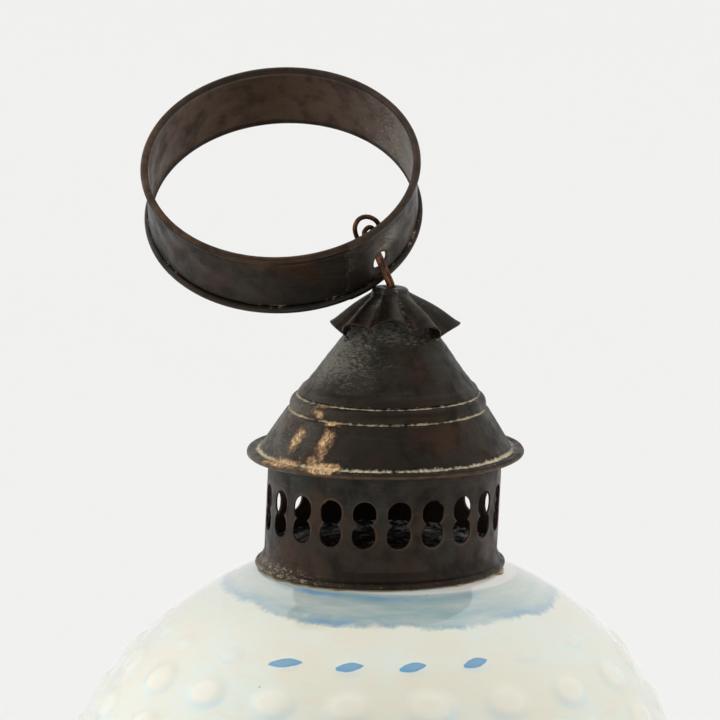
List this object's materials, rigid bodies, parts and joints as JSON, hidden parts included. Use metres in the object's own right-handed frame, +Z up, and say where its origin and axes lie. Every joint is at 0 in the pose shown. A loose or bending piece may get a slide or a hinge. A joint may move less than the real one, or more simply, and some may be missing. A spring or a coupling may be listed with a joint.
{
  "type": "hanging candle lantern",
  "caption": "Hanging candle lantern: hobnail opal glass globe between pierced dark copper collars, stepped cone roof, crimped smoke cap, wire link and broad hand ring; removable candle base.",
  "frame": {"origin": "centre of the face that the lantern rests on, under the foot of the removable base", "axes": "+Z up the lantern's axis; -Y is the front, the side from which the ring leans back to the left"},
  "size_m": [0.238, 0.238, 0.4177],
  "materials": {
    "copper": "dark brown patina, worn, verdigris and dirt in the creases",
    "edge_wire": "dark, hidden in the rolled edges",
    "copper_wire": "bare reddish-brown, oxidised",
    "spring_brass": "tarnished",
    "solder": "dull grey",
    "plaster": "matt, stained tan",
    "opal_glass": "glossy, opalescent cream with pale blue hobs"
  },
  "bodies": {
    "lantern": {"vent_collar": "copper", "collar_foot_wire": "edge_wire", "upper_cement": "plaster", "globe": "opal_glass", "lower_cement": "plaster", "base_collar": "copper", "base_collar_wire": "edge_wire", "roof_skirt": "copper", "eave_wire": "edge_wire", "roof_cone": "copper", "roof_solder": "solder", "smoke_cap": "copper", "cap_solder": "solder"},
    "link": {"link_wire": "copper_wire", "link_washer": "copper_wire"},
    "ring": {"hanging_ring": "copper", "ring_edge_wire_upper": "edge_wire", "ring_edge_wire_lower": "edge_wire"},
    "base": {"base_plate": "copper", "base_foot_wire": "edge_wire", "base_drum": "copper", "candle_socket": "copper", "drip_pan": "copper", "socket_foot_solder": "solder", "drip_pan_solder": "solder", "retaining_springs": "spring_brass"}
  },
  "joints": [
    {"name": "link_swivel", "type": "hinge", "parent": "lantern", "child": "link", "pos_m": [0, 0, 0.3478], "axis": [0, 0, 1], "continuous": true},
    {"name": "ring_tilt", "type": "hinge", "parent": "link", "child": "ring", "pos_m": [-0.00388, -0.00173, 0.35765], "axis": [0.606, 0.7955, 0], "range_deg": [0, 100]},
    {"name": "base_slide", "type": "slide", "parent": "lantern", "child": "base", "axis": [0, 0, -1], "range_m": [0, 0.1]}
  ]
}
